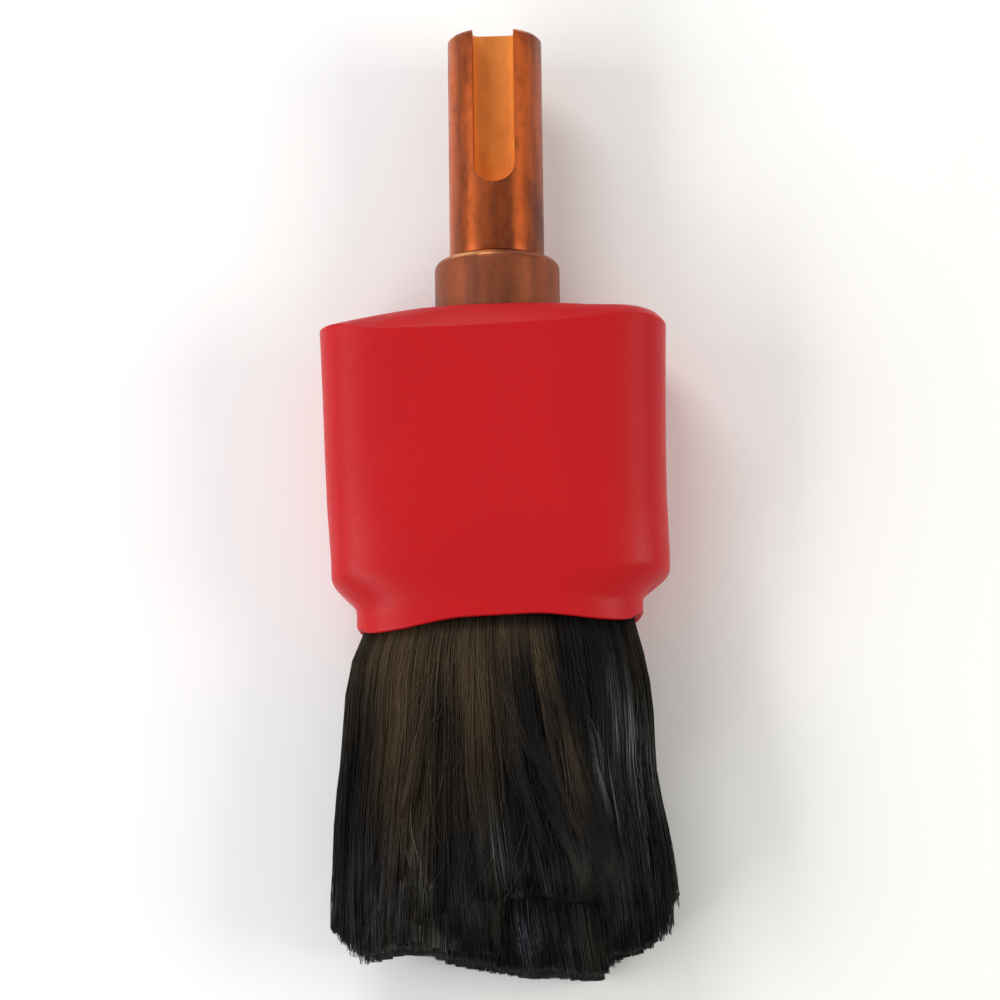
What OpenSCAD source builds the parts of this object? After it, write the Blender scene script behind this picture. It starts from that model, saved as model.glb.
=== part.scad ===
// Plug-in brush head for electrochemical weld cleaning.
// It lies on its wide flat face: Y along the head with the shank at +Y, X across its width,
// Z up through its thickness. The origin is under the middle of the head, on the rest plane.

/* [Shank] */
// Diameter of the copper rod
shank_d = 12; // [11:0.5:13]
// Length of rod that stands out of the collar
shank_len = 29.3; // [24:0.1:50]
// Width of the key slot
slot_w = 5.2; // [4:0.1:6.5]
// Depth of the key slot, from the rod's surface to the slot's flat floor
slot_depth = 3.9; // [2:0.1:5]
// Length of the key slot, from the free end to its round lower end
slot_len = 20.2; // [12:0.1:22]
// Outer diameter of the collar
collar_d = 15.8; // [15:0.1:16]
// Length of collar that stands out of the sleeve
collar_len = 7; // [4:0.1:12]

/* [Sleeve] */
// Width of the sleeve at its shoulder
sleeve_w = 43.4; // [42:0.2:50]
// Thickness of the sleeve over the ferrule
sleeve_t = 19.4; // [19.4:0.2:22]
// Length of the sleeve, from its end face to its lip
sleeve_len = 39.6; // [38.6:0.2:50]
// Wall of the sleeve
sleeve_wall = 1; // [0.8:0.1:1.2]
// Width of the lip that grips the tuft
lip_w = 35.8; // [33:0.2:39]
// Thickness of the lip
lip_t = 16.6; // [15.6:0.2:17.4]

/* [Tuft] */
// Length of the longest tow beyond the lip
tuft_len = 43.4; // [36:0.2:60]
// Width of the tuft near its cut end
tuft_w = 42.8; // [37:0.2:44.4]
// Thickness of the tuft near its cut end
tuft_t = 17.8; // [15.6:0.2:18.4]
// How much shorter the front row is than the back row
front_step = 9.6; // [0:0.5:14]

/* [Hidden] */
$fn = 64;

// Stations along Y, from the free end of the shank down to the tips.
total_len = shank_len + collar_len + sleeve_len + tuft_len;
shank_end = total_len / 2;
collar_end = shank_end - shank_len;
sleeve_end = collar_end - collar_len;
lip_end = sleeve_end - sleeve_len;
tuft_end = lip_end - tuft_len;
axis_z = sleeve_t / 2;            // the head's long axis lies this far above the rest plane
gap = 0.1;                        // between pieces that only lie beside each other
chamfer = 0.4;                    // on the free edges of the rod and the collar
spigot_d = 10;                    // of the rod inside the collar and the block
relief = 0.2;                     // the spigot shows by this between collar and rod
mouth = 1.2;                      // countersink of the collar's bore, wider than the rod

// Sleeve: outlines are superellipses, blunter with a higher power, with flats top and bottom.
shoulder_len = 3.3;
shoulder_in = [1, 1.3];           // narrower and thinner by this at the end face, on each side
body_taper = 0.5;                 // narrower by this on each side at the neck
neck_len = 4;
lip_flare = [0.7, 0.2];           // wider and thicker by this where the neck meets the lip
end_power = 2.1;
body_power = 2.8;
lip_power = 2.5;
fold_y = sleeve_end - shoulder_len;
neck_y = lip_end + 7;             // the straight body ends here, with the ferrule's mouth
lip_start = neck_y - neck_len;

// Ferrule and what it holds.
block_top = sleeve_end - sleeve_wall - gap;
ferrule_wall = 1;
ferrule_half = [sleeve_w / 2 - body_taper - sleeve_wall - gap, sleeve_t / 2 - sleeve_wall - gap];
cavity_half = ferrule_half - [ferrule_wall, ferrule_wall];
block_low = sleeve_end - 14.5;
spigot_low = sleeve_end - 11.6;   // the rod's inner end, in the block
plug_len = 4;
plug_low = block_low - gap - plug_len;
core_d = 2.4;                     // core rods that the tows are laced over
core_y = plug_low - gap - core_d;
core_z = cavity_half[1] / 3;
core_len = 33;
pin_d = 3;
rivet_d = 3;
rivet_x = 12.5;
rivet_y = sleeve_end - 7.8;
rivet_len = 6;

// Tuft: rows of tows in a round-cornered block, each tow one cell of it.
tows = 7;
rows = 3;
tuft_round = 0.9;                 // 0 makes the block's outline a rectangle, 1 an ellipse
mid_y = lip_end - 0.45 * tuft_len;
mid_half = [20.1, 8.6];
row_step = [0, 0.4 * front_step, front_step];       // back, middle and front row
end_trim = [2.9, 2.7, 1.5, 0.6, 0, 1.2, 4.2];       // shorter by this, from -X to +X

row_names = ["back", "middle", "front"];

copper = [0.62, 0.34, 0.2];
dull_copper = [0.5, 0.29, 0.2];
ferrule_copper = [0.72, 0.42, 0.26];
steel = [0.7, 0.7, 0.72];
resin = [0.16, 0.15, 0.14];
red = [0.78, 0.12, 0.12];
fibre = [0.1, 0.09, 0.08];

function power(v, p) = sign(v) * pow(abs(v), 2 / p);
function clip(v, limit) = max(-limit, min(limit, v));

// Outline of half sizes half, with the top and bottom cut flat.
function oval(half, p) = [for (t = [5 : 10 : 355])
    [half[0] * power(cos(t), p), clip(1.03 * half[1] * power(sin(t), p), half[1])]];

// Moves a point of the square block -1..1 by -1..1 into the round-cornered outline.
function rounded(u, w, half) =
    [half[0] * u * sqrt(1 - tuft_round * w * w / 2), half[1] * w * sqrt(1 - tuft_round * u * u / 2)];

// Outline of the cell in column c and row r, with side gaps of gap_u and gap_w in block units.
function cell(c, r, half, gap_u, gap_w) =
    let (u0 = 2 * c / tows - 1 + gap_u, u1 = 2 * (c + 1) / tows - 1 - gap_u,
         w0 = 2 * r / rows - 1 + (r > 0 ? gap_w : 0),
         w1 = 2 * (r + 1) / rows - 1 - (r < rows - 1 ? gap_w : 0), steps = [0 : 0.25 : 0.75])
    concat([for (k = steps) rounded(u0 + k * (u1 - u0), w0, half)],
           [for (k = steps) rounded(u1, w0 + k * (w1 - w0), half)],
           [for (k = steps) rounded(u1 - k * (u1 - u0), w1, half)],
           [for (k = steps) rounded(u0, w1 - k * (w1 - w0), half)]);

// Stands a shape that is drawn along its own Z on the head's axis, from y towards +Y.
module along(y) translate([0, y, axis_z]) rotate([-90, 0, 0]) children();

module bar(half, p, y0, y1) along(y0) linear_extrude(y1 - y0) polygon(oval(half, p));

// A solid through rings, each [outline, y], in order towards -Y. All outlines have as many points.
module loft(rings) {
    n = len(rings[0][0]);
    last = n * (len(rings) - 1);
    polyhedron(
        points = [for (ring = rings, p = ring[0]) [p[0], ring[1], axis_z + p[1]]],
        faces = concat(
            [[for (i = [0 : n - 1]) i]],
            [[for (i = [n - 1 : -1 : 0]) last + i]],
            [for (k = [0 : n : last - n], i = [0 : n - 1]) [k + i, k + n + i, k + n + (i + 1) % n]],
            [for (k = [0 : n : last - n], i = [0 : n - 1])
                [k + i, k + n + (i + 1) % n, k + (i + 1) % n]]));
}

// A round rod with a chamfered free end, from y0 to y1. Its surface starts and ends on the +Z side,
// so that the seam is inside the key slot.
module chamfered_rod(d, y0, y1) along(y0) rotate(-90) union() {
    cylinder(d = d, h = y1 - y0 - chamfer);
    translate([0, 0, y1 - y0 - chamfer]) cylinder(d1 = d, d2 = d - 2 * chamfer, h = chamfer);
}

// Holes through both flat faces, for the rivets.
module rivet_holes() for (x = [-rivet_x, rivet_x])
    translate([x, rivet_y, -1]) cylinder(d = rivet_d, h = sleeve_t + 2);

module pin_hole() translate([0, rivet_y, -1]) cylinder(d = pin_d, h = sleeve_t + 2);

module shank_rod() color(copper) difference() {
    union() {
        chamfered_rod(shank_d, collar_end + relief, shank_end);
        along(spigot_low) cylinder(d = spigot_d, h = collar_end - spigot_low + 1);
    }
    translate([0, shank_end - slot_len + slot_w / 2, axis_z + shank_d / 2 - slot_depth]) {
        cylinder(d = slot_w, h = shank_d);
        translate([-slot_w / 2, 0, 0]) cube([slot_w, slot_len, shank_d]);
    }
    pin_hole();
}

module shank_collar() color(dull_copper) difference() {
    chamfered_rod(collar_d, block_top, collar_end);
    along(block_top - 1) cylinder(d = spigot_d, h = collar_end);
    along(collar_end - mouth) cylinder(d1 = spigot_d, d2 = spigot_d + 2 * mouth, h = mouth);
}

module header_block() color(ferrule_copper) difference() {
    union() {
        bar(cavity_half, body_power, block_low, fold_y);
        loft(shoulder_rings(sleeve_wall + gap, block_top));
    }
    along(spigot_low) cylinder(d = spigot_d, h = sleeve_len);
    pin_hole();
    rivet_holes();
}

module cross_pin() color(steel)
    translate([0, rivet_y, axis_z - cavity_half[1]]) cylinder(d = pin_d, h = 2 * cavity_half[1]);

module ferrule_shell() color(ferrule_copper) difference() {
    bar(ferrule_half, body_power, neck_y, fold_y);
    bar(cavity_half, body_power, neck_y - 1, fold_y + 1);
    rivet_holes();
}

module ferrule_rivets() color(ferrule_copper)
    for (x = [-rivet_x, rivet_x], low = [-ferrule_half[1], ferrule_half[1] - rivet_len])
        translate([x, rivet_y, axis_z + low]) cylinder(d = rivet_d, h = rivet_len);

module core_rods() color(copper) for (side = [-1, 1])
    translate([-core_len / 2, core_y, axis_z + side * core_z])
        rotate([0, 90, 0]) cylinder(d = core_d, h = core_len);

module resin_plug() color(resin)
    bar(cavity_half - [gap, gap], body_power, plug_low, plug_low + plug_len);

// The sleeve's form is one rule for its outside and, shrunk by inset, for what lies inside it.
function body_half(inset, taper) = [sleeve_w / 2 - taper - inset, sleeve_t / 2 - inset];
function lip_half(inset) = [lip_w / 2 - inset, lip_t / 2 - inset];

function shoulder_rings(inset, top) = [
    [oval(body_half(inset, 0) - shoulder_in, end_power), top],
    [oval(body_half(inset, 0), body_power), fold_y],
];
function body_rings(inset, low) = [
    [oval(body_half(inset, body_taper), body_power), neck_y],
    [oval(lip_half(inset) + lip_flare, lip_power), lip_start],
    [oval(lip_half(inset), lip_power), low],
];

module sleeve_form(inset, top, low)
    loft(concat(shoulder_rings(inset, top), body_rings(inset, low)));

module insulating_sleeve() color(red) difference() {
    sleeve_form(0, sleeve_end, lip_end);
    sleeve_form(sleeve_wall, block_top, lip_end - 0.5);
    along(fold_y) cylinder(d = collar_d, h = 2 * shoulder_len);
}

// One tow: tied small where it passes the core rods, full in the ferrule, squeezed at the lip
// and flared to its cut end.
module tow(c, r) color(fibre) {
    fine = gap / core_z / 2;
    laced = (core_d / 2 + gap) / cavity_half[1];
    tip_y = tuft_end + end_trim[c] + row_step[r];
    flare = (mid_y - tip_y) / (mid_y - tuft_end);
    tip_half = mid_half + flare * ([tuft_w / 2, tuft_t / 2] - mid_half);
    inner = cavity_half - 2 * [gap, gap];
    stations = [
        [plug_low - gap, inner, laced],
        [core_y - core_d, inner, laced],
        [neck_y, inner - [0.6, 0.2], fine],
        [lip_start, lip_half(sleeve_wall + 2 * gap) + lip_flare, fine],
        [lip_end, lip_half(sleeve_wall + 2 * gap), fine],
        [mid_y, mid_half, fine],
        [tip_y, tip_half, fine],
    ];
    loft([for (s = stations) [cell(c, r, s[1], fine, s[2]), s[0]]]);
}

shank_rod();
shank_collar();
header_block();
cross_pin();
ferrule_shell();
ferrule_rivets();
core_rods();
resin_plug();
insulating_sleeve();
for (r = [0 : rows - 1], c = [0 : tows - 1])
    tow(c, r);
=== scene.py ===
"""Plug-in brush head for weld cleaning: red shrunk-on sleeve, copper shank and carbon-fibre tuft.

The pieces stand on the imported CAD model. Lengths in this script are millimetres, and add_mesh turns
them into metres. Y runs along the head with the shank at +Y, X across it and Z up through it.
"""

import math

import bmesh
import bpy
import numpy as np
from mathutils import Matrix, Vector


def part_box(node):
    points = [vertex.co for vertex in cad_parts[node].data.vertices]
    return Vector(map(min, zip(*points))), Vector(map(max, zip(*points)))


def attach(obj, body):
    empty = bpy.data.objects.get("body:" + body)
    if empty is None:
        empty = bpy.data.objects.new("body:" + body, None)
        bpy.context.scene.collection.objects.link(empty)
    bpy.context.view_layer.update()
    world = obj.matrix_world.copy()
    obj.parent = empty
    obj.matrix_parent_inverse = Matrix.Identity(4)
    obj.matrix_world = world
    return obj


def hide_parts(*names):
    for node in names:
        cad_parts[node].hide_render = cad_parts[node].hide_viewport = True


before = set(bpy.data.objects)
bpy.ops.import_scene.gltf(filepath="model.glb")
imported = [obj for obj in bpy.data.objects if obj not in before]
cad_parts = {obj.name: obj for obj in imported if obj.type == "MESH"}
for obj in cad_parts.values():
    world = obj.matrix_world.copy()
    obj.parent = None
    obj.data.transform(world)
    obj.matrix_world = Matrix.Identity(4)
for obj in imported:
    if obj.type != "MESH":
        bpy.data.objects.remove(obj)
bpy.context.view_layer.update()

MM = 0.001


def box_mm(node):
    """Lowest and highest corners of a CAD node."""
    low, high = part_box(node)
    return Vector(low) / MM, Vector(high) / MM


# ------------------------------------------------------------------ places, read from the frame

ROWS = ("back", "middle", "front")
TOWS = 7
rod_low, rod_high = box_mm("shank_rod")
collar_low, collar_high = box_mm("shank_collar")
sleeve_low, sleeve_high = box_mm("insulating_sleeve")
AXIS_Z = (sleeve_low.z + sleeve_high.z) / 2
ROD_END, ROD_R = rod_high.y, rod_high.x
COLLAR_END, COLLAR_LOW, COLLAR_R = collar_high.y, collar_low.y, collar_high.x
END_Y, LIP_Y = sleeve_high.y, sleeve_low.y
HALF_W, HALF_T = sleeve_high.x, (sleeve_high.z - sleeve_low.z) / 2
TIP_Y = min(box_mm(f"tow_{row}_{column + 1}")[0].y for row in ROWS for column in range(TOWS))
TUFT_LEN = LIP_Y - TIP_Y


# ------------------------------------------------------------------ meshes


def smooth(x):
    """0 below 0, 1 above 1 and an S between."""
    x = np.clip(x, 0, 1)
    return x * x * (3 - 2 * x)


def link(name, mesh):
    made = bpy.data.objects.new(name, mesh)
    bpy.context.scene.collection.objects.link(made)
    return made


def array_mesh(name, points, quads, triangles):
    """A smooth mesh from arrays of points in mm and of corner numbers."""
    corners = np.concatenate([quads.reshape(-1), triangles.reshape(-1)])
    sizes = np.repeat([4, 3], [len(quads), len(triangles)])
    mesh = bpy.data.meshes.new(name)
    mesh.vertices.add(len(points))
    mesh.vertices.foreach_set("co", (points * MM).astype(np.float32).ravel())
    mesh.loops.add(len(corners))
    mesh.loops.foreach_set("vertex_index", corners.astype(np.int32))
    mesh.polygons.add(len(sizes))
    mesh.polygons.foreach_set("loop_start", (np.cumsum(sizes) - sizes).astype(np.int32))
    mesh.update(calc_edges=True)
    mesh.shade_smooth()
    return mesh


def skin(name, rings):
    """A mesh over rings of shape (rings, points, 3), each ring closed and the ends open."""
    count, size, _ = rings.shape
    index = np.arange(count * size).reshape(count, size)
    start, stop = index[:-1], index[1:]
    quads = np.stack([start, stop, np.roll(stop, -1, 1), np.roll(start, -1, 1)], -1).reshape(-1, 4)
    return link(name, array_mesh(name, rings.reshape(-1, 3), quads, np.empty((0, 3), int)))


def apply_modifiers(piece):
    """Leaves the piece's final shape in its mesh."""
    graph = bpy.context.evaluated_depsgraph_get()
    piece.data = bpy.data.meshes.new_from_object(piece.evaluated_get(graph))
    piece.modifiers.clear()


def finish_piece(piece, node, slot, *materials):
    """Stands the piece in for a CAD node."""
    piece.data.materials.clear()
    for material in materials:
        piece.data.materials.append(material)
    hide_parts(node)
    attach(piece, "root")


# ------------------------------------------------------------------ materials

DULLED_Y = (ROD_END - 12, COLLAR_END)         # the copper gets duller from here to here
# Painted shadow: the fibres are darkened just below the lip.
SHADED_Y = (LIP_Y - 0.1, LIP_Y - 1.7)         # fibres are dark just below the lip
VARIED_Y = (LIP_Y - 24, LIP_Y - 34)           # and get more varied in tone towards their ends


class Material:
    """A Principled material, with short ways to add the nodes that drive it."""

    def __init__(self, name):
        self.made = bpy.data.materials.new(name)
        self.made.use_nodes = True
        self.nodes = self.made.node_tree.nodes
        self.links = self.made.node_tree.links
        self.shader = self.nodes["Principled BSDF"]
        self.place = self.nodes.new("ShaderNodeTexCoord").outputs["Object"]

    def feed(self, socket, value):
        if isinstance(value, bpy.types.NodeSocket):
            self.links.new(value, socket)
        elif isinstance(value, tuple):
            socket.default_value = (*value, 1)
        else:
            socket.default_value = value

    def noise(self, per_metre, detail=4, roughness=0.55, distortion=0.0):
        """Noise with so many bumps per metre along X, Y and Z."""
        stretch = self.nodes.new("ShaderNodeMapping")
        stretch.inputs["Scale"].default_value = per_metre
        self.feed(stretch.inputs["Vector"], self.place)
        made = self.nodes.new("ShaderNodeTexNoise")
        self.feed(made.inputs["Vector"], stretch.outputs[0])
        made.inputs["Scale"].default_value = 1
        made.inputs["Detail"].default_value = detail
        made.inputs["Roughness"].default_value = roughness
        made.inputs["Distortion"].default_value = distortion
        return made.outputs["Fac"]

    def along(self, axis, start, stop):
        """Goes from 0 to 1 between two places in mm along an axis."""
        split = self.nodes.new("ShaderNodeSeparateXYZ")
        self.feed(split.inputs[0], self.place)
        made = self.nodes.new("ShaderNodeMapRange")
        self.feed(made.inputs["Value"], split.outputs[axis])
        made.inputs["From Min"].default_value = start * MM
        made.inputs["From Max"].default_value = stop * MM
        return made.outputs[0]

    def ramp(self, value, start, stop, low=0.0, high=1.0):
        """Goes from low to high, numbers or colours, while value goes from start to stop."""
        made = self.nodes.new("ShaderNodeValToRGB")
        self.feed(made.inputs[0], value)
        for stop_at, position, colour in zip(made.color_ramp.elements, (start, stop), (low, high)):
            stop_at.position = position
            stop_at.color = (*colour, 1) if isinstance(colour, tuple) else (colour, colour, colour, 1)
        return made.outputs[0]

    def stripe(self, axis, middle, half):
        """1 along the middle of a wavering stripe across an axis, in mm, fading to 0 at its sides."""
        across = self.along(axis, middle - half, middle + half)
        made = self.nodes.new("ShaderNodeValToRGB")
        self.feed(made.inputs[0], self.mix(0.3, across, self.noise((220, 90, 220), detail=3)))
        first, last = made.color_ramp.elements
        first.position, first.color = 0.22, (0, 0, 0, 1)
        last.position, last.color = 0.78, (0, 0, 0, 1)
        made.color_ramp.elements.new(0.5).color = (1, 1, 1, 1)
        return made.outputs[0]

    def mix(self, amount, first, second, how="MIX"):
        made = self.nodes.new("ShaderNodeMix")
        made.data_type = "RGBA"
        made.blend_type = how
        self.feed(made.inputs["Factor"], amount)
        self.feed(made.inputs[6], first)
        self.feed(made.inputs[7], second)
        return made.outputs[2]

    def bump(self, height, depth, strength):
        """Raises the surface by up to depth mm."""
        made = self.nodes.new("ShaderNodeBump")
        made.inputs["Strength"].default_value = strength
        made.inputs["Distance"].default_value = depth * MM
        self.feed(made.inputs["Height"], height)
        self.feed(self.shader.inputs["Normal"], made.outputs[0])

    def finish(self, colour, roughness, metallic=0.0, specular=0.5):
        self.feed(self.shader.inputs["Base Color"], colour)
        self.feed(self.shader.inputs["Roughness"], roughness)
        self.shader.inputs["Metallic"].default_value = metallic
        self.shader.inputs["Specular IOR Level"].default_value = specular
        return self.made


def red_plastic():
    """Satin shrink tube: a little cloudy, faintly grained, with a few pale nicks."""
    m = Material("red_plastic")
    cloud = m.noise((55, 40, 55), detail=3)
    colour = m.ramp(cloud, 0.3, 0.7, (0.5, 0.0055, 0.0095), (0.535, 0.0075, 0.012))
    nicks = m.noise((420, 160, 420), detail=1, roughness=0.3)
    colour = m.mix(m.ramp(nicks, 0.8, 0.84, 0, 0.5), colour, (0.66, 0.1, 0.08))
    grain = m.noise((1100, 700, 1100), detail=5, roughness=0.65)
    m.bump(m.mix(0.75, nicks, grain), 0.03, 0.3)
    return m.finish(colour, m.ramp(grain, 0.3, 0.75, 0.36, 0.48), specular=0.2)


def copper(name, bright, brown, dark, roughness, metallic, tarnish_and_unshaded=0.0, reflection_bands=()):
    """Handled copper: tarnish in streaks along the shank, stains, mottling and turning marks.

    The tarnish is heavier towards the sleeve, by the share given for it. Each band along the
    shank is a painted reflection with its x, half width and strength, painted bright, or painted dark if
    that is negative.
    """
    m = Material(name)
    streaks = m.noise((420, 26, 420), detail=2, roughness=0.45)
    broad = m.noise((250, 70, 250), detail=3, roughness=0.5, distortion=0.3)
    stains = m.noise((430, 240, 430), detail=5, roughness=0.6, distortion=0.2)
    mottle = m.noise((1300, 900, 1300), detail=3, roughness=0.5)
    colour = m.mix(m.ramp(streaks, 0.36, 0.62), brown, bright)
    colour = m.mix(m.ramp(broad, 0.47, 0.66, 0, 0.8), colour, dark)
    # Painted reflections in bands along the shank, bright or dark.
    for x, half, strength in reflection_bands:
        amount = m.ramp(m.stripe("X", x, half), 0, 1, 0, abs(strength))
        colour = m.mix(amount, colour, bright if strength > 0 else dark)
    colour = m.mix(m.ramp(stains, 0.55, 0.75, 0, 0.5), colour, dark)
    colour = m.mix(m.ramp(mottle, 0.45, 0.7, 0, 0.25), colour, dark)
    colour = m.mix(m.ramp(m.along("Y", *DULLED_Y), 0, 1, 0, tarnish_and_unshaded), colour, dark)
    turning = m.noise((60, 5200, 60), detail=2)
    m.bump(m.mix(0.35, turning, stains), 0.02, 0.3)
    rough = m.ramp(stains, 0.3, 0.75, roughness - 0.06, roughness + 0.16)
    return m.finish(colour, rough, metallic=metallic)


def milled_copper():
    """The key slot's floor: freshly cut, yellower and duller than the rod, with cutter marks."""
    m = Material("milled_copper")
    marks = m.noise((2600, 240, 2600), detail=3)
    cloud = m.noise((500, 220, 500), detail=4)
    colour = m.mix(m.ramp(cloud, 0.35, 0.7), (0.93, 0.32, 0.05), (0.8, 0.25, 0.038))
    m.bump(marks, 0.02, 0.35)
    return m.finish(colour, m.ramp(marks, 0.3, 0.7, 0.5, 0.65), metallic=0.15, specular=0.3)


def corner_copper_glint(corner_glint_x, corner_glint_half):
    """The collar's rounded corner: a painted glint in a brighter, smoother stripe, dull copper elsewhere.
    """
    m = Material("corner_copper_glint")
    rubs = m.noise((700, 300, 700), detail=4)
    m.bump(rubs, 0.01, 0.3)
    # Painted glint: the stripe is brighter in colour and smoother.
    corner_glint = m.stripe("X", corner_glint_x, corner_glint_half)
    bright = m.ramp(rubs, 0.35, 0.65, (0.6, 0.24, 0.08), (0.95, 0.5, 0.2))
    colour = m.mix(corner_glint, (0.3, 0.085, 0.032), bright)
    rough = m.mix(corner_glint, m.ramp(rubs, 0.3, 0.7, 0.5, 0.4), (0.24, 0.24, 0.24))
    return m.finish(colour, rough, metallic=0.85)


def grey_steel():
    """Drawn steel of the pin, with marks along it."""
    m = Material("grey_steel")
    drawn = m.noise((900, 900, 90), detail=4)
    m.bump(drawn, 0.01, 0.3)
    colour = m.ramp(drawn, 0.3, 0.7, (0.42, 0.42, 0.44), (0.58, 0.58, 0.6))
    return m.finish(colour, m.ramp(drawn, 0.3, 0.7, 0.25, 0.4), metallic=1.0)


def cast_resin():
    """Near black potting resin, cloudy and a little uneven."""
    m = Material("cast_resin")
    cloud = m.noise((260, 260, 260), detail=5)
    m.bump(cloud, 0.05, 0.3)
    colour = m.ramp(cloud, 0.3, 0.7, (0.012, 0.011, 0.01), (0.026, 0.023, 0.02))
    return m.finish(colour, m.ramp(cloud, 0.3, 0.7, 0.3, 0.5))


def carbon_fibre():
    """The mesh carries each fibre's tint, painted sheen, glints and shade included, and the nodes change
    it along the fibre.
    """
    m = Material("carbon_fibre")
    own = m.nodes.new("ShaderNodeVertexColor")
    own.layer_name = "tint"
    along = m.noise((1500, 110, 1500), detail=3)
    colour = m.mix(1.0, own.outputs["Color"], m.ramp(along, 0.3, 0.7, 0.88, 1.12), "MULTIPLY")
    casts = m.ramp(m.noise((260, 60, 260), detail=2), 0.42, 0.6, (0.87, 0.96, 1.2), (1.1, 1.04, 0.86))
    strokes = m.ramp(m.noise((560, 130, 560), detail=2), 0.4, 0.66, 0.65, 2.1)
    ends = m.mix(1.0, m.mix(1.0, colour, casts, "MULTIPLY"), strokes, "MULTIPLY")
    colour = m.mix(m.along("Y", *VARIED_Y), colour, ends)
    # Painted shadow on the fibres just below the lip.
    shade = m.ramp(m.along("Y", *SHADED_Y), 0, 1, 0.3, 1.0)
    colour = m.mix(1.0, colour, shade, "MULTIPLY")
    rough = m.ramp(m.noise((700, 80, 700), detail=2), 0.3, 0.7, 0.34, 0.52)
    m.bump(m.noise((5200, 900, 5200), detail=2), 0.01, 0.4)
    return m.finish(colour, rough, specular=0.16)


def pale_floor():
    """Matt, nearly white and a little uneven."""
    m = Material("pale_floor")
    colour = m.ramp(m.noise((3, 3, 3)), 0.3, 0.7, (0.97, 0.97, 0.97), (0.99, 0.99, 0.99))
    return m.finish(colour, 0.9, specular=0.1)


# ------------------------------------------------------------------ sleeve

SLEEVE_TURN = np.linspace(0, 2 * np.pi, 288, endpoint=False)
BORE = COLLAR_R + 0.04                        # radius of the hole for the collar
END_FACE_Y = END_Y - 0.27
END_HALF, END_SHIFT = (17.4, 8.15), 1.35      # the end face is off centre, towards +X
END_ARCH, END_TOP_X = 0.001, 2                # it falls off by END_ARCH times the square of x from its top
# How far below the sleeve's end it folds over into the wide faces, across the width.
FOLD_X = (-21.7, -20.4, -18.8, -17, -14.5, -10, -5, 0, 8, 11, 14.5, 19, 21.5)
FOLD_DOWN = (2.1, 2.05, 2.3, 2.8, 3.15, 3.38, 3.4, 3.2, 2.8, 2.5, 2.0, 1.62, 1.9)
BODY_START = END_Y - 3.4                      # the fold's lowest place
NECK_HALF_W = 21.1
LIP_HALF, LIP_SHIFT = (17.85, 8.3), -0.17
END_POWER, BODY_POWER, LIP_POWER = 2.4, 3.15, 2.4
NECK_START, NECK_STOP = LIP_Y + 6.55, LIP_Y + 1.95
THIN_START = LIP_Y + 13                       # the wide faces slope down from here to the lip
NECK_SKEW, LIP_SKEW = 0.017, 0.037
LIP_BOW, LIP_ARCH = 0.95, 0.2                 # the lip's edge is an arch on the wide faces
ARCH_FROM, ARCH_OVER, ARCH_Z = 4, 10, 5       # it falls from this x, over this far, fully from this z
LIP_CUT_BACK = (0.55, 0.4)                    # and it is cut back at the +X and -X sides
CUT_FROM, CUT_OVER = 14.5, 3                  # from this x, over this far
# The tube sits a little askew on the head: it leans to -X towards its end, and flares there.
ASKEW_Y, ASKEW = (-8, -6, -1, 5, 10, 20), (0.0, -0.1, -0.36, -0.49, -0.53, -0.63)
FLARE = 0.2
SWELL, SWELL_X, SWELL_Y = 0.07, 6.1, 7.2      # shrink tube is never quite even
WALL = 1.0
LIP_EDGE = ((0.0, 0.14), (0.06, 0.04), (0.2, 0.0), (0.8, 0.0), (0.94, 0.05), (WALL, 0.2),
            (WALL, 2.5), (WALL, 6))           # (inwards, up) round the lip's edge and up inside


def ring(half_w, half_t, power, y, shift=0.0):
    """A superellipse across the sleeve, squarer with a higher power, with its middle at x = shift."""
    across, up = np.cos(SLEEVE_TURN), np.sin(SLEEVE_TURN)
    x = half_w * np.sign(across) * np.abs(across) ** (2 / power)
    z = half_t * np.sign(up) * np.abs(up) ** (2 / power)
    return np.stack([x + shift, y + 0 * x, z], 1)


def end_rings():
    """From inside the bore round its edge and out over the end face."""
    edge = ((0, 1.0), (0, 0.3), (0.04, 0.12), (0.12, 0.03))         # (outwards, down)
    rings = [ring(BORE + out, BORE + out, 2, END_FACE_Y - down) for out, down in edge]
    start = BORE + edge[-1][0]
    for t in np.linspace(0.05, 1, 8):
        half_w = BORE + t * (END_HALF[0] - BORE)
        half_t = start + t * (END_HALF[1] - start)
        outer = ring(half_w, half_t, 2 + t * (END_POWER - 2), END_FACE_Y, t * END_SHIFT)
        outer[:, 1] -= t * END_ARCH * (outer[:, 0] - END_TOP_X) ** 2
        rings.append(outer)
    return rings


def fold_ring():
    """The wavering edge where the end turns into the wide faces and sides."""
    made = ring(HALF_W + FLARE, HALF_T, BODY_POWER, END_Y, ASKEW[-1])
    made[:, 1] -= np.interp(made[:, 0], FOLD_X, FOLD_DOWN)
    return made


def shoulder_rings(end, fold):
    """From the end face's outline down to the fold, a little rounded."""
    steps = np.array((0.06, 0.2, 0.4, 0.6, 0.8, 0.92, 0.975, 1))
    left = np.interp(np.abs(end[:, 2]), (1.5, 4), (0.3, -0.2))      # fuller over the block's corner
    side = smooth((np.abs(end[:, 0]) - 8) / 8) * np.where(end[:, 0] > 0, 0.4, left)
    bulge = np.stack([side * 0, 0.25 + side, side * 0], 1)
    return [end + t * (fold - end) + math.sin(math.pi * t) * bulge for t in steps]


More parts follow.
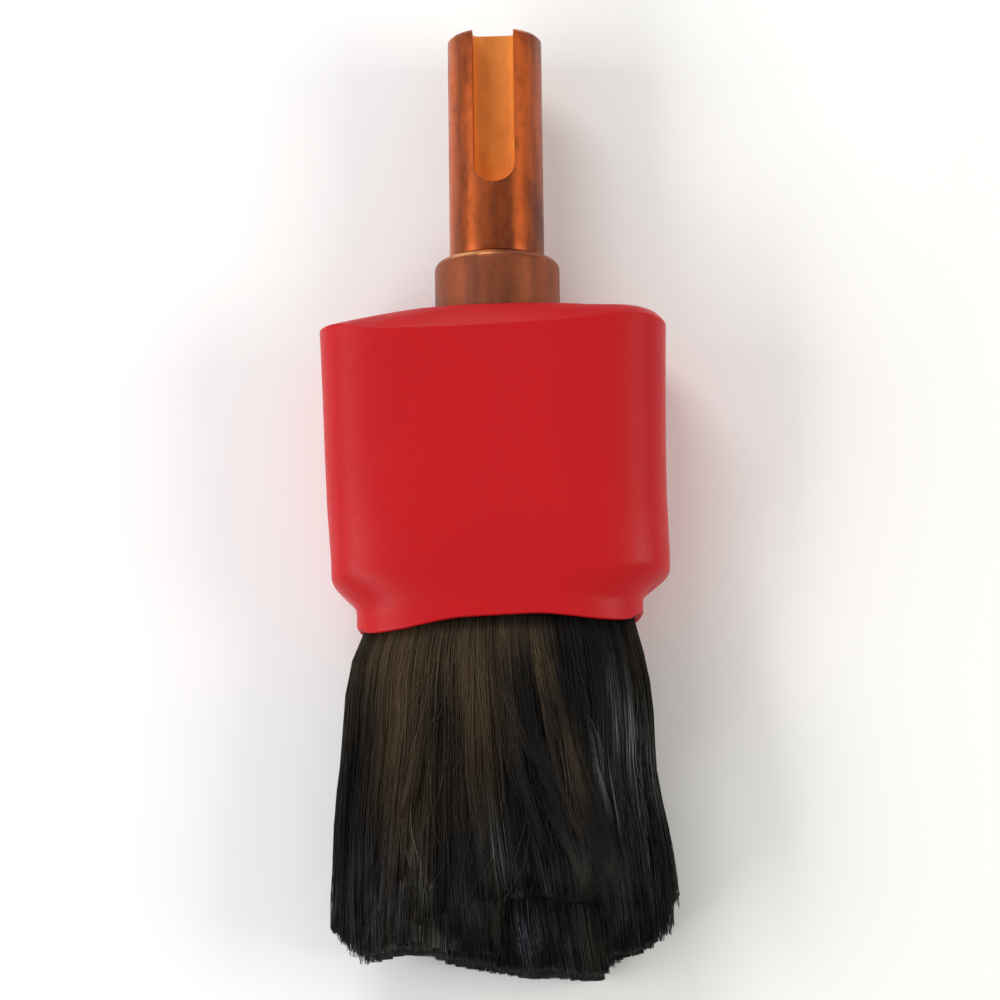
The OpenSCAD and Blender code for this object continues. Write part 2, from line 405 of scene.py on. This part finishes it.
def body_rings(fold):
    """From the fold down the wide faces and in through the neck to the lip."""
    rings = []
    top = fold[:, 1]
    for t in (0.004, 0.012, 0.03, 0.06, *np.linspace(0.1, 1, 19)):
        y = BODY_START + t * (NECK_START - BODY_START)
        half_w = HALF_W + FLARE * (1 - t) ** 3 + t * (NECK_HALF_W - HALF_W)
        made = ring(half_w, HALF_T, BODY_POWER, y, np.interp(y, ASKEW_Y, ASKEW))
        made[:, 1] = top + t * (NECK_START + NECK_SKEW * made[:, 0] - top)
        rings.append(made)
    neck = np.linspace(NECK_START, NECK_STOP, 19)[1:-1]
    for y in (*neck, *np.linspace(NECK_STOP, LIP_Y + 0.3, 6)):
        narrow = smooth((NECK_START - y) / (NECK_START - NECK_STOP))
        made = ring(NECK_HALF_W + narrow * (LIP_HALF[0] - NECK_HALF_W), HALF_T,
                    BODY_POWER + narrow * (LIP_POWER - BODY_POWER), y, narrow * LIP_SHIFT)
        made[:, 1] += made[:, 0] * np.interp(y, (LIP_Y, NECK_START), (LIP_SKEW, NECK_SKEW))
        made[:, 1] += lip_arch(made) * smooth((NECK_START - y) / (NECK_START - LIP_Y))
        rings.append(made)
    for made in rings:
        thin = smooth((THIN_START - made[:, 1]) / (THIN_START - LIP_Y))
        made[:, 2] *= 1 + thin * (LIP_HALF[1] / HALF_T - 1)
    return rings


def lip_arch(points):
    """The lip's edge hangs lower towards the sides of the wide faces, and is cut back on the sides."""
    x, z = points[:, 0], points[:, 2]
    hang = LIP_BOW * smooth((np.abs(x) - ARCH_FROM) / ARCH_OVER) * smooth(np.abs(z) / ARCH_Z)
    cut_back = np.where(x > 0, *LIP_CUT_BACK) * smooth((np.abs(x) - CUT_FROM) / CUT_OVER)
    return LIP_ARCH - hang + cut_back * (1 - smooth((z - 1) / ARCH_Z))


def lip_rings():
    """Round the lip's edge and back up inside."""
    rings = []
    for inward, up in LIP_EDGE:
        made = ring(LIP_HALF[0] - inward, LIP_HALF[1] - inward, LIP_POWER, LIP_Y + up, LIP_SHIFT)
        made[:, 1] += LIP_SKEW * made[:, 0] + lip_arch(made)
        rings.append(made)
    return rings


def build_sleeve():
    end, fold = end_rings(), fold_ring()
    rings = np.array(end + shoulder_rings(end[-1], fold) + body_rings(fold) + lip_rings())
    x, y, z = rings[..., 0], rings[..., 1], rings[..., 2]
    face = smooth((np.abs(z) - 7) / 2)
    z += SWELL * face * np.sin(x / SWELL_X + 0.8) * np.sin(y / SWELL_Y + 0.4) * np.sign(z)
    z += AXIS_Z
    np.clip(z, sleeve_low.z, sleeve_high.z, out=z)
    sleeve = skin("red_sleeve", rings)
    finish_piece(sleeve, "insulating_sleeve", "sleeve_red", red_plastic())


# ------------------------------------------------------------------ shank

SHANK_TURNS = 192
LONGEST = 1.0                                 # stretch of a turned profile
SLOT_W, SLOT_DEPTH, SLOT_LEN = 5.2, 3.9, 20.2
SLOT_FLOOR_Z = AXIS_Z + ROD_R - SLOT_DEPTH
SLOT_FILLET = ((0.75, 0.0), (0.42, 0.07), (0.18, 0.24), (0.04, 0.5), (0.0, 0.75))   # (inwards, up)
EDGE = 0.3                                    # worn edges of the rod and the slot
SPIGOT_R = 5.0                                # of the rod inside the collar
RELIEF = 0.2                                  # the spigot shows by this between collar and rod
CHAMFER = 0.4                                 # at the rod's free end
COLLAR_MOUTH, COLLAR_ROUND = 1.2, 1.2         # its countersunk bore and its rounded corner
CORNER_GLINT = (-3.4, 5.5)                         # x and half width of the painted glint, a bright stripe on that corner
# Painted reflections in bands along the rod, bright or dark: x, half width, strength (negative is painted
# dark).
ROD_REFLECTION_BANDS = ((-4.3, 1.5, -0.6), (-2.9, 0.9, 0.25), (3.2, 1.3, 0.7), (5.0, 1.2, -0.5), (0.0, 3.4, -0.5))


def lathe(name, profile):
    """Turns a profile of (radius, y) about the head's axis, with long stretches cut into short ones."""
    stations = [profile[0]]
    for (r0, y0), (r1, y1) in zip(profile, profile[1:]):
        count = max(1, math.ceil(math.hypot(r1 - r0, y1 - y0) / LONGEST))
        steps = [k / count for k in range(1, count + 1)]
        stations += [(r0 + t * (r1 - r0), y0 + t * (y1 - y0)) for t in steps]
    turn = np.linspace(0, 2 * np.pi, SHANK_TURNS, endpoint=False)
    rings = [np.stack([r * np.cos(turn), y + 0 * turn, AXIS_Z + r * np.sin(turn)], 1)
             for r, y in stations]
    return skin(name, np.array(rings))


def cap_ends(piece, size):
    """Closes a skin's first and last rings."""
    edit = bmesh.new()
    edit.from_mesh(piece.data)
    edit.verts.ensure_lookup_table()
    edit.faces.new([edit.verts[k] for k in range(size)])
    edit.faces.new([edit.verts[-1 - k] for k in range(size)])
    bmesh.ops.recalc_face_normals(edit, faces=edit.faces)
    edit.to_mesh(piece.data)
    edit.free()


def slot_cutter():
    """A slot with a round lower end and a filleted floor, open at the rod's free end."""
    centre_y = ROD_END - SLOT_LEN + SLOT_W / 2
    turn = np.linspace(np.pi, 2 * np.pi, 49)
    rings = []
    for inward, up in SLOT_FILLET + ((0.0, SLOT_DEPTH + 2),):
        half = SLOT_W / 2 - inward
        outline = [(half * math.cos(a), centre_y + half * math.sin(a)) for a in turn]
        outline += [(half, ROD_END + 2), (-half, ROD_END + 2)]
        rings.append([(x, y, SLOT_FLOOR_Z + up) for x, y in outline])
    cutter = skin("slot_cutter", np.array(rings))
    cap_ends(cutter, len(outline))
    return cutter


def cut_slot(rod):
    """Cuts the key slot and wears down all the rod's sharp edges."""
    cutter = slot_cutter()
    cut = rod.modifiers.new("slot", "BOOLEAN")
    cut.operation = "DIFFERENCE"
    cut.object = cutter
    cut.solver = "EXACT"
    worn = rod.modifiers.new("worn_edges", "BEVEL")
    worn.width = EDGE * MM
    worn.segments = 3
    worn.limit_method = "ANGLE"
    worn.angle_limit = math.radians(38)
    apply_modifiers(rod)
    bpy.data.objects.remove(cutter)


def in_slot(x, y, z):
    """Whether a place on the rod's surface was cut by the slot's mill."""
    inside = math.hypot(x, z - AXIS_Z) < ROD_R - EDGE and z > SLOT_FLOOR_Z - 0.01
    return inside and abs(x) < SLOT_W / 2 + 0.02 and ROD_END - SLOT_LEN - 0.1 < y < ROD_END - 0.05


def build_rod():
    root = COLLAR_END + RELIEF
    profile = [(SPIGOT_R, rod_low.y), (SPIGOT_R, root), (ROD_R - 0.15, root), (ROD_R, root + 0.15),
               (ROD_R, ROD_END - CHAMFER), (ROD_R - CHAMFER, ROD_END)]
    rod = lathe("copper_rod", profile)
    cap_ends(rod, SHANK_TURNS)
    cut_slot(rod)
    bright, brown, dark = (0.64, 0.125, 0.022), (0.4, 0.088, 0.023), (0.11, 0.027, 0.013)
    skin_copper = copper("rod_copper", bright, brown, dark, 0.32, 0.8, 0.12, ROD_REFLECTION_BANDS)
    finish_piece(rod, "shank_rod", "rod_copper", skin_copper, milled_copper())
    for face in rod.data.polygons:
        face.material_index = int(in_slot(*(face.center / MM)))
    rod.data.shade_smooth()
    rod.data.set_sharp_from_angle(angle=math.radians(40))


def build_collar():
    middle_r, middle_y = COLLAR_R - COLLAR_ROUND, COLLAR_END - COLLAR_ROUND
    rounding = [(middle_r + COLLAR_ROUND * math.sin(a), middle_y + COLLAR_ROUND * math.cos(a))
                for a in np.linspace(0, np.pi / 2, 13)]
    profile = [(SPIGOT_R + 0.02, COLLAR_LOW), (SPIGOT_R + 0.02, COLLAR_END - COLLAR_MOUTH),
               (SPIGOT_R + COLLAR_MOUTH, COLLAR_END), *rounding, (COLLAR_R, COLLAR_LOW)]
    collar = lathe("copper_collar", profile)
    bright, brown, dark = (0.31, 0.077, 0.026), (0.25, 0.066, 0.026), (0.15, 0.043, 0.021)
    skin_copper = copper("collar_copper", bright, brown, dark, 0.44, 0.7)
    finish_piece(collar, "shank_collar", "collar_copper", skin_copper, corner_copper_glint(*CORNER_GLINT))
    for face in collar.data.polygons:
        y = face.center.y / MM
        face.material_index = int(COLLAR_END - 0.75 < y < COLLAR_END - 0.04)     # its rounded corner


def set_material(node, material):
    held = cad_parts[node]
    held.data.materials.clear()
    held.data.materials.append(material)


def dress_inner_nodes():
    """The pieces inside keep their CAD shapes."""
    inner = copper("inner_copper", (0.6, 0.24, 0.12), (0.5, 0.18, 0.085), (0.3, 0.1, 0.05), 0.35, 1.0)
    for node in ("header_block", "ferrule_shell", "ferrule_rivets", "core_rods"):
        set_material(node, inner)
    set_material("cross_pin", grey_steel())
    set_material("resin_plug", cast_resin())


# ------------------------------------------------------------------ tuft

rng = np.random.default_rng(11)

RINGS, SIDES = 11, 3                          # of each fibre's tube
FIBRES = (1900, 900, 2600)                    # in each tow of the back, middle and front row
LOCKS, WISPS = 9, 7                           # in each tow; wisps lie across the outside
WISP_SHARE, STRAY_SHARE, LOOSE_SHARE = 0.13, 0.009, 0.05
GATHERED_SHARE = 0.7                          # of the fibres are drawn in to the middle of their lock
FACE_SHARE, UNDER_SHARE = 0.55, 0.22          # lie at the wide face, and in a layer just under it
UNDER_W = 0.84                                # where that layer lies, with the wide face at 1
FIBRE_RADIUS = (0.034, 0.05)
BLACK_TINT = np.array([0.0060, 0.0053, 0.0053])
# Tints of the painted brown sheen and of the painted steel glints.
BROWN_SHEEN_TINT = np.array([0.058, 0.0365, 0.0165])
STEEL_GLINT_TINT = np.array([0.175, 0.188, 0.176])
STRAY_TINT = np.array([0.008, 0.0075, 0.007])
TUFT_ROUND = 0.9                              # 0 makes the tuft's section a rectangle, 1 an ellipse
TUFT_POWER = 2.32                             # of the superellipse round that section
# Half sizes of the tuft at distances from the lip.
AT = (-5, 0, 4, 8, 12, 16, 20, 25, 30, 36, 44)
LEFT_HALF = (16.2, 16.9, 18.6, 19.4, 19.6, 19.9, 20.4, 20.8, 20.9, 21.1, 21.0)
RIGHT_HALF = (16.2, 16.6, 17.7, 18.4, 18.7, 18.7, 18.9, 20.0, 20.8, 21.3, 21.4)
THICK_HALF = (6.6, 6.7, 7.6, 8.05, 8.3, 8.5, 8.6, 8.7, 8.8, 8.85, 8.9)
# The tip line: fibres end short of the longest by so much across the tuft.
TRIM_X = (-21.2, -20, -19, -17.6, -13, -10.3, -7.3, 0, 7.3, 11.8, 12.6, 16, 19, 20.4, 21.2)
TRIM = (6.0, 4.4, 3.3, 2.3, 3.6, 3.4, 2.4, 0.8, 0, 0.1, 2.0, 2.7, 4.6, 5.2, 8.6)
CLUMP = 1.3                                   # fibres so close end together, like cut ones
# The front row's cut ends stop short of the tip line, sharply only inside CUT.
STEP_X = (-21, -14, -7, 0, 3, 12, 15, 21)
STEP = (3.0, 5.0, 7.5, 9.5, 9.8, 9.8, 8.0, 4.5)
CUT = (1.0, 12.0)
# The front row leans to +X, by so much at the tips across the tuft.
LEAN_U = (-1, -0.6, -0.25, 0, 0.25, 0.5, 0.8, 1)
LEAN = (0, 0.2, 2.0, 4.6, 6.0, 4.6, 1.4, 0)
# Wisps slope away from the centre line by so much across the tuft.
SLOPE_U = (-1, -0.5, 0, 0.6, 1)
SLOPE = (-0.12, -0.02, 0.14, 0.14, 0.06)
# Patches of painted brown sheen, painted shade and painted steel glints on the wide faces: x, distance
# from the lip, their spreads, lean and strength.
BROWN_SHEEN_PATCHES = ((-9, 5, 9, 11, 0.0, 0.85), (-14, 6, 4, 9, -0.15, 0.4), (-11, 24, 3.5, 9, -0.05, 0.65),
                 (-2.2, 9, 2.6, 9, 0.05, 0.85), (2.6, 1, 3.5, 3.5, 0.0, 0.8),
                 (-13.5, 16, 2.4, 9, -0.1, 0.6), (5.3, 6, 0.65, 5, 0.08, 1.2),
                 (8.7, 18, 1.3, 7, 0.22, 0.65), (16.3, 4, 0.9, 5, 0.15, 0.5), (-3, 19, 3, 5, 0.1, 0.3))
PAINTED_SHADE_PATCHES = ((-7.3, 11.3, 1.7, 3.4, 0.0, 0.8), (2.4, 8, 1.8, 3.2, 0.1, 0.85),
                (4.4, 16.5, 2.0, 5.5, 0.1, 0.9), (9.2, 7, 2.6, 8, 0.15, 0.9), (12.5, 4, 3, 6, 0.0, 0.7),
                (-17.5, 16, 2.2, 7, -0.2, 0.9), (-6, 19, 2.0, 4.5, 0.05, 0.4), (-5.5, 31, 3, 4, 0.1, 0.7),
                (9, 31, 4, 3, 0.0, 0.6), (-15.8, 27, 1.2, 6, -0.05, 0.4), (12, 27, 2.2, 5, 0.1, 0.9),
                (-16, 36, 3, 3, 0.0, 0.5))
STEEL_GLINT_PATCHES = ((14.4, 11.5, 0.6, 4, 0.2, 1.4), (17.0, 16.5, 2.2, 6, 0.15, 2.0),
                 (12.3, 18, 0.9, 4, 0.2, 0.7), (-0.1, 29, 1.4, 5.5, 0.34, 0.95),
                 (-10.5, 31, 0.9, 4, 0.2, 0.9), (16.2, 26, 1.1, 5, 0.3, 0.8), (-15, 41, 3, 2.5, 0.0, 0.3),
                 (2.8, 35.5, 1.1, 2.5, 0.1, 1.0), (-8, 37, 3, 4, 0.0, 0.35))


def tuft_half_width(side, s):
    """Of the tuft's -X or +X half, whichever side is on, at distances s from the lip."""
    return np.where(side < 0, np.interp(s, AT, LEFT_HALF), np.interp(s, AT, RIGHT_HALF))


def in_tuft(u, w, s):
    """Point of the round-cornered block: u, w run from -1 to 1, and s is the distance from the lip."""
    x = tuft_half_width(u, s) * u * np.sqrt(1 - TUFT_ROUND * np.minimum(w * w, 1) / 2)
    z = np.interp(s, AT, THICK_HALF) * w * np.sqrt(1 - TUFT_ROUND * np.minimum(u * u, 1) / 2)
    return np.stack([x, LIP_Y - s + 0 * x, AXIS_Z + z], -1)


def tuft_thickness(x, s):
    """Half the tuft's thickness at x, where loose fibres still lie on its surface."""
    across = np.minimum(np.abs(x) / tuft_half_width(x, s), 1) ** TUFT_POWER
    half_t = np.interp(s, AT, THICK_HALF) * 1.03 * (1.02 - across) ** (1 / TUFT_POWER)
    return np.minimum(half_t, AXIS_Z - 0.1)


def wander(phases, s, lengths):
    """A smooth sideways walk along s, from one sine for each of the lengths."""
    return sum(np.sin(2 * np.pi * s / length + phases[..., k, None]) / (k + 1)
               for k, length in enumerate(lengths))


def patches(table, x, s):
    """Strength of soft leaning patches at points of the wide face."""
    total = 0 * x
    for at_x, at_s, size_x, size_s, lean, strength in table:
        across = (x - at_x - lean * (s - at_s)) / size_x
        total += strength * np.exp(-across ** 2 - ((s - at_s) / size_s) ** 2)
    return total


def fibre_tint(x, s, tone, own):
    """Painted brown sheen and painted steel glints on near black fibres, with painted shade in dark
    patches between.
    """
    # Painted shade: 1 outside the dark patches, less inside them.
    tarnish_and_unshaded = 1 - np.minimum(patches(PAINTED_SHADE_PATCHES, x, s), 0.93)
    # Painted brown sheen.
    brown = np.minimum(patches(BROWN_SHEEN_PATCHES, x, s), 1.2) * tarnish_and_unshaded
    # Painted steel glints.
    steel_glint = patches(STEEL_GLINT_PATCHES, x, s)
    # Painted sheen and glints, stronger towards the fibres' cut ends.
    lower_sheen = smooth((s - 27) / 6)
    lift = (0.66 + 0.6 * tone) * (0.95 + 0.1 * own)
    glint = (steel_glint + 0.1 * lower_sheen) * (0.2 + 0.8 * tone) * smooth((own - 0.35) / 0.4)
    black = 0.5 + 0.7 * tone + lower_sheen * (0.5 + 1.5 * smooth((tone - 0.3) / 0.5))
    # The painted shade darkens the black fibres too.
    black *= 0.35 + 0.65 * tarnish_and_unshaded
    tints = ((black, BLACK_TINT), (brown * lift, BROWN_SHEEN_TINT), (glint, STEEL_GLINT_TINT))
    return sum(amount[..., None] * tint for amount, tint in tints)


class Locks:
    """What the fibres of each lock share: the locks of one tow, then its wisps."""

    def __init__(self, column):
        count = LOCKS + WISPS
        self.wisp = np.arange(count) >= LOCKS
        place = rng.permutation(count) / count + rng.uniform(0, 1 / count, count)
        self.u = 2 * (column + place) / TOWS - 1
        rng.random(count)                     # not used, but it keeps the draws after it as they are
        self.tone = rng.random(count)
        # How far a lock draws its fibres in to its middle.
        self.pull = np.where(self.wisp, rng.uniform(0.8, 0.93, count), rng.uniform(0.1, 0.75, count))
        self.tilt = rng.normal(0, 0.8, count)
        self.end = rng.normal(0, 1, count)
        self.step = rng.uniform(0, 1, count)
        self.depth = rng.uniform(0, 0.06, count)
        self.kink = rng.uniform(0, 26, count)           # a wisp slopes aside from here
        slope = np.interp(self.u, SLOPE_U, SLOPE) + rng.normal(0, 0.08, count)
        self.slope = np.where(self.wisp, slope, 0)
        self.length = rng.uniform(9, 22, count)         # of a wisp, beyond its kink
        self.shift = rng.normal(0, 1, (count, 2)) * (0.4, 1.6)
        self.phases = rng.uniform(0, 2 * np.pi, (count, 2, 3))


def fibre_reach(row, locks, lock, w, tip_x):
    """How far beyond the lip each fibre ends. Fibres in a clump end nearly in line, like cut ones."""
    cut = smooth((tip_x - CUT[0] + 2) / 2) * smooth((CUT[1] + 2 - tip_x) / 2)
    step = locks.step[lock]
    front_share = np.maximum(step, cut * (0.85 + 0.15 * step)) * smooth((w - UNDER_W) / 0.06)
    share = (0, 0.5 * step, front_share)[row]
    clump = np.floor(tip_x / CLUMP + 0.37 * row)
    middle = (clump + 0.5 - 0.37 * row) * CLUMP
    tip_line = TUFT_LEN - np.interp(0.7 * middle + 0.3 * tip_x, TRIM_X, TRIM)
    reach = tip_line + 0.25 * np.sin(7.3 * clump)
    reach -= share * np.interp(tip_x, STEP_X, STEP) + rng.exponential(0.08, len(lock))
    reach += 0.3 * locks.end[lock] * (1 - 0.6 * cut)
    short = locks.kink[lock] + locks.length[lock] - rng.exponential(1.2, len(lock))
    reach = np.where(locks.wisp[lock], np.minimum(short, reach), reach)
    return np.clip(reach, 3, tip_line + 0.3)


def tow_paths(row, column):
    """Paths of one tow's fibres from inside the sleeve to their cut ends, with their tints."""
    count = FIBRES[row]
    locks = Locks(column)
    lock = rng.integers(0, LOCKS, count)
    on_wisp = (rng.random(count) < WISP_SHARE) & (row != 1)
    lock = np.where(on_wisp, rng.integers(LOCKS, LOCKS + WISPS, count), lock)

    u = np.clip(2 * (column + rng.uniform(-0.2, 1.2, count)) / TOWS - 1, -1, 1)
    u = np.where(on_wisp, np.clip(locks.u[lock] + rng.normal(0, 0.025, count), -1, 1), u)
    w = 2 * (row + rng.random(count)) / len(ROWS) - 1
    lies = rng.random(count)
    sunk = locks.depth[lock] + rng.uniform(0, 0.022, count)
    w = np.where((lies < FACE_SHARE) & (row != 1), (row - 1) * (1 - sunk), w)
    w = np.where((lies > 1 - UNDER_SHARE) & (row != 1), (row - 1) * (UNDER_W - sunk), w)
    w = np.where(on_wisp, (row - 1) * rng.uniform(0.99, 1.03, count), w)
    stray = (rng.random(count) < STRAY_SHARE) & (row != 1)
    w = np.where(stray, (row - 1) * 1.035, w)

    gathered = np.where(on_wisp | (rng.random(count) < GATHERED_SHARE), locks.pull[lock], 0)
    lean = np.interp(u, LEAN_U, LEAN) * (row == 2) + locks.tilt[lock]
    stray_from = rng.uniform(1, 32, count)
    stray_slope = rng.normal(0, 0.38, count) * stray
    own = rng.uniform(0, 2 * np.pi, (count, 2, 2))
    loose = np.where(rng.random(count) < LOOSE_SHARE, rng.uniform(3, 8, count), 1.0)
    drift = rng.normal(0, 0.35, count) * loose ** 0.8

    def lay(s):
        """Where the fibres pass at distances s from the lip, of shape (fibres, stations)."""
        free = np.clip(s / TUFT_LEN, 0, 1)
        pulled = u[:, None] + (gathered * (locks.u[lock] - u))[:, None] * smooth(free * 1.4)
        path = in_tuft(np.clip(pulled, -1, 1), w[:, None] + 0 * s, s)
        aside = lean[:, None] * free ** 1.3 + drift[:, None] * free
        aside += locks.slope[lock][:, None] * np.maximum(s - locks.kink[lock][:, None], 0)
        aside += stray_slope[:, None] * np.maximum(s - stray_from[:, None], 0)
        path[..., 0] += aside * (1 - u[:, None] ** 4)      # fibres at the sides keep to the outline
        path[..., 0] += 0.35 * free * wander(locks.phases[lock][:, 0], s, (60, 33, 19))
        path[..., 0] += 0.08 * loose[:, None] * free * wander(own[:, 0], s, (36, 15))
        path[..., 2] += 0.16 * free * wander(locks.phases[lock][:, 1], s, (52, 30, 17))
        path[..., 2] += 0.04 * loose[:, None] * free * wander(own[:, 1], s, (30, 13))
        over = np.abs(path[..., 0]) - HALF_W + 0.2
        path[..., 0] -= np.sign(path[..., 0]) * np.maximum(over, 0) * 0.85
        thick = tuft_thickness(path[..., 0], s)
        path[..., 2] = AXIS_Z + np.clip(path[..., 2] - AXIS_Z, -thick, thick)
        return path

    tip_x = lay(np.full((count, 1), 0.93 * TUFT_LEN))[:, 0, 0]
    reach = fibre_reach(row, locks, lock, w, tip_x)
    reach = np.where(stray, np.minimum(stray_from + rng.uniform(3, 9, count), reach), reach)
    s = np.linspace(-4, reach, RINGS, axis=1)
    path = lay(s)
    tone = np.clip(locks.tone[lock] + rng.normal(0, 0.04, count), 0, 1)[:, None] + 0 * s
    shift = locks.shift[lock]
    fibre_tone = rng.random((count, 1)) + 0 * s
    tint = fibre_tint(path[..., 0] + shift[:, :1], s + shift[:, 1:], tone, fibre_tone)
    tint[stray] = tint[stray] * 1.2 + STRAY_TINT
    return path, tint


def fibre_mesh(name, path, tint):
    """Closed thin tubes along the paths, with their tints and a bake map of one cell for each fibre."""
    count = len(path)
    index = np.arange(count * RINGS * SIDES).reshape(count, RINGS, SIDES)
    corner = rng.uniform(0, 2 * np.pi, (count, 1, 1)) + np.arange(SIDES) * 2 * np.pi / SIDES
    taper = np.append(np.ones(RINGS - 1), 0.75)[None, :, None]
    radius = rng.uniform(*FIBRE_RADIUS, (count, 1, 1)) * taper
    points = np.repeat(path[:, :, None, :], SIDES, 2)
    points[..., 0] += radius * np.cos(corner)
    points[..., 2] += radius * np.sin(corner)
    beside = np.roll(index, -1, 2)
    quads = np.stack([index[:, :-1], index[:, 1:], beside[:, 1:], beside[:, :-1]], -1).reshape(-1, 4)
    caps = np.concatenate([index[:, 0], index[:, -1, ::-1]])
    mesh = array_mesh(name, points.reshape(-1, 3), quads, caps)
    colours = np.ones((len(mesh.vertices), 4), np.float32)
    colours[:, :3] = np.repeat(tint.reshape(-1, 3), SIDES, 0)
    layer = mesh.color_attributes.new("tint", "FLOAT_COLOR", "POINT")
    layer.data.foreach_set("color", colours.ravel())
    add_bake_map(mesh, count)
    return mesh


def add_bake_map(mesh, count):
    """Lays each fibre's tube in its own cell of the unit square, and the caps at the cell's ends."""
    cells = math.ceil(math.sqrt(count))
    fibre = np.arange(count)
    cell = np.stack([fibre % cells, fibre // cells], 1) / cells
    inner = 0.8 / cells
    u = (np.arange(SIDES + 1) / SIDES) * inner
    v = np.arange(RINGS) / (RINGS - 1) * inner
    corners = np.empty((count, RINGS - 1, SIDES, 4, 2))
    for k, (ring_step, side_step) in enumerate(((0, 0), (1, 0), (1, 1), (0, 1))):
        corners[..., k, 0] = cell[:, None, None, 0] + u[None, None, side_step:SIDES + side_step]
        corners[..., k, 1] = cell[:, None, None, 1] + v[None, ring_step:RINGS - 1 + ring_step, None]
    caps = np.empty((2, count, SIDES, 2))
    caps[..., 0] = cell[None, :, None, 0] + u[None, None, :SIDES]
    caps[0, ..., 1] = cell[:, None, 1]
    caps[1, ..., 1] = cell[:, None, 1] + inner
    layer = mesh.uv_layers.new(name="OFBake")
    layer.data.foreach_set("uv", np.concatenate([corners.ravel(), caps.ravel()]).astype(np.float32))


def build_tuft():
    material = carbon_fibre()
    for row, row_name in enumerate(ROWS):
        for column in range(TOWS):
            name = f"{row_name}_{column + 1}"
            path, tint = tow_paths(row, column)
            tow = link("fibres_" + name, fibre_mesh("fibres_" + name, path, tint))
            finish_piece(tow, "tow_" + name, "carbon_fibre", material)


# ------------------------------------------------------------------ stage, light and camera

CAMERA_DISTANCE = 461
CAMERA_TARGET = (0, -0.27, AXIS_Z)
CAMERA_TILT = math.radians(10.7)              # from straight above, towards the tuft
CAMERA_SIDE = math.radians(2.4)
CAMERA_ROLL = math.radians(0.7)
VIEW_WIDTH = 125.3                            # seen at the target
FLOOR_HALF = 3000
WORLD_LIGHT = 0.4
PANEL_DISTANCE = 0.8                          # in metres


def direction(azimuth, elevation):
    """Azimuth 0 is towards +X, and 90 towards +Y."""
    a, e = math.radians(azimuth), math.radians(elevation)
    return Vector((math.cos(a) * math.cos(e), math.sin(a) * math.cos(e), math.sin(e)))


def add_panel(name, azimuth, elevation, size, power, colour=(1, 1, 1)):
    """A soft panel that faces the head, its size in metres and its power in watts."""
    data = bpy.data.lights.new(name, "AREA")
    data.shape = "RECTANGLE"
    data.size, data.size_y = size
    data.energy = power
    data.color = colour
    panel = bpy.data.objects.new(name, data)
    bpy.context.scene.collection.objects.link(panel)
    towards = direction(azimuth, elevation)
    panel.location = towards * PANEL_DISTANCE
    panel.rotation_euler = towards.to_track_quat("Z", "Y").to_euler()


def add_lights():
    world = bpy.data.worlds.new("studio")
    bpy.context.scene.world = world
    world.use_nodes = True
    background = world.node_tree.nodes["Background"]
    background.inputs["Color"].default_value = (1, 1, 1, 1)
    background.inputs["Strength"].default_value = WORLD_LIGHT
    add_panel("left_panel", 186, 32, (0.5, 0.3), 2.4)
    add_panel("right_panel", -6, 33, (0.4, 0.3), 2.3, (1, 0.95, 0.85))
    add_panel("shank_panel", 112, 34, (0.4, 0.25), 2.2)
    add_panel("tuft_panel", 218, 32, (0.25, 0.2), 1.25)


def add_floor():
    corners = FLOOR_HALF * np.array([(-1.0, -1, 0), (1, -1, 0), (1, 1, 0), (-1, 1, 0)])
    mesh = array_mesh("floor", corners, np.array([[0, 1, 2, 3]]), np.empty((0, 3), int))
    floor = link("floor", mesh)
    floor.data.materials.append(pale_floor())


def add_camera():
    away = Vector((math.sin(CAMERA_SIDE), -math.sin(CAMERA_TILT), math.cos(CAMERA_TILT))).normalized()
    right = Vector((0, 1, 0)).cross(away).normalized()
    turn = Matrix((right, away.cross(right), away)).transposed().to_4x4()
    data = bpy.data.cameras.new("camera")
    data.lens = data.sensor_width * CAMERA_DISTANCE / VIEW_WIDTH
    data.clip_start = 0.01
    camera = bpy.data.objects.new("camera", data)
    bpy.context.scene.collection.objects.link(camera)
    place = (Vector(CAMERA_TARGET) + away * CAMERA_DISTANCE) * MM
    camera.matrix_world = Matrix.Translation(place) @ turn @ Matrix.Rotation(-CAMERA_ROLL, 4, "Z")
    bpy.context.scene.camera = camera


add_camera()
add_lights()
add_floor()
build_sleeve()
build_rod()
build_collar()
dress_inner_nodes()
build_tuft()
bpy.context.scene.view_settings.view_transform = "Standard"
